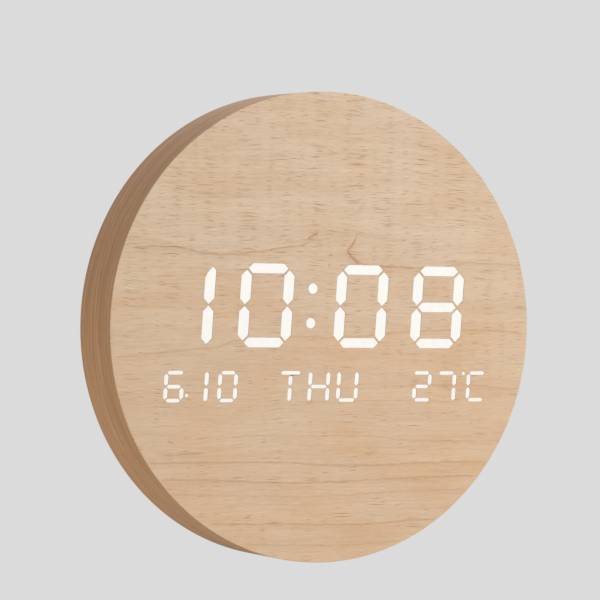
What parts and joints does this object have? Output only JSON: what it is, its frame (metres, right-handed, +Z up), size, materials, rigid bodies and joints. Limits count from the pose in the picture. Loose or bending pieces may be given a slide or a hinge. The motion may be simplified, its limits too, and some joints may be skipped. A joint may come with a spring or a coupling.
{
  "type": "alarm clock",
  "caption": "Round wall-hung alarm clock: a bentwood drum with a veneer face, lit digits shining through it, and setting keys, battery door and keyhole hanger on its back.",
  "frame": {"origin": "centre of the back cover's outer face, on the wall plane", "axes": "+Y from the face into the wall, +X to the right as the face is read, +Z up"},
  "size_m": [0.25, 0.0385, 0.25],
  "materials": {
    "maple_face": "maple veneer, clear satin lacquer, horizontal grain",
    "maple_edge": "maple edge veneer, grain running round the drum",
    "plywood": "raw bent plywood",
    "lit_diffuser": "milky diffuser, segments lit warm white",
    "white_plastic": "moulded white polymer",
    "circuit_board": "glass-fibre board, green solder mask",
    "cover_plastic": "black moulded polymer, fine spark texture",
    "key_plastic": "dark grey moulded polymer",
    "zinc_steel": "zinc-plated steel",
    "nickel_plate": "nickel-plated sheet",
    "brass_strip": "spring brass",
    "cable_grey": "grey flat cable insulation",
    "chip_black": "black moulded resin"
  },
  "bodies": {
    "root": {"face_veneer": "maple_face", "edge_band": "maple_edge", "case_hoop": "plywood", "front_panel": "plywood", "hours_diffuser": "lit_diffuser", "hours_reflector": "white_plastic", "minutes_diffuser": "lit_diffuser", "minutes_reflector": "white_plastic", "date_diffuser": "lit_diffuser", "date_reflector": "white_plastic", "weekday_diffuser": "lit_diffuser", "weekday_reflector": "white_plastic", "temperature_diffuser": "lit_diffuser", "temperature_reflector": "white_plastic", "display_board": "circuit_board", "standoff_1": "white_plastic", "display_screw_1": "zinc_steel", "cover_screw_1": "zinc_steel", "standoff_2": "white_plastic", "display_screw_2": "zinc_steel", "cover_screw_2": "zinc_steel", "standoff_3": "white_plastic", "display_screw_3": "zinc_steel", "cover_screw_3": "zinc_steel", "standoff_4": "white_plastic", "display_screw_4": "zinc_steel", "cover_screw_4": "zinc_steel", "back_cover": "cover_plastic", "connector_bay": "cover_plastic", "hanger_plate": "zinc_steel", "hanger_screw_1": "zinc_steel", "hanger_screw_2": "zinc_steel", "control_board": "circuit_board", "control_screw_1": "zinc_steel", "control_screw_2": "zinc_steel", "set_tact_switch": "chip_black", "up_tact_switch": "chip_black", "down_tact_switch": "chip_black", "alarm_slide_switch": "nickel_plate", "coin_cell_holder": "chip_black", "coin_cell": "nickel_plate", "coin_cell_contact": "brass_strip", "power_socket": "nickel_plate", "alarm_buzzer": "chip_black", "supply_capacitor": "chip_black", "microcontroller": "chip_black", "clock_crystal": "nickel_plate", "cable_header": "white_plastic", "ribbon_cable": "cable_grey", "temperature_probe": "chip_black"},
    "set_button": {"set_button_cap": "key_plastic", "set_plunger": "white_plastic"},
    "up_button": {"up_button_cap": "key_plastic", "up_plunger": "white_plastic"},
    "down_button": {"down_button_cap": "key_plastic", "down_plunger": "white_plastic"},
    "alarm_switch_knob": {"alarm_slider": "key_plastic"},
    "battery_lid": {"battery_door": "cover_plastic"}
  },
  "joints": [
    {"name": "set_press", "type": "slide", "parent": "root", "child": "set_button", "axis": [0, -1, 0], "range_m": [0, 0.0005], "stiffness_N_per_m": 3200},
    {"name": "up_press", "type": "slide", "parent": "root", "child": "up_button", "axis": [0, -1, 0], "range_m": [0, 0.0005], "stiffness_N_per_m": 3200},
    {"name": "down_press", "type": "slide", "parent": "root", "child": "down_button", "axis": [0, -1, 0], "range_m": [0, 0.0005], "stiffness_N_per_m": 3200},
    {"name": "alarm_switch_slide", "type": "slide", "parent": "root", "child": "alarm_switch_knob", "axis": [1, 0, 0], "range_m": [0, 0.002]},
    {"name": "battery_door_hinge", "type": "hinge", "parent": "root", "child": "battery_lid", "pos_m": [-0.028, -0.0001, -0.025], "axis": [1, 0, 0], "range_deg": [0, 80]}
  ]
}
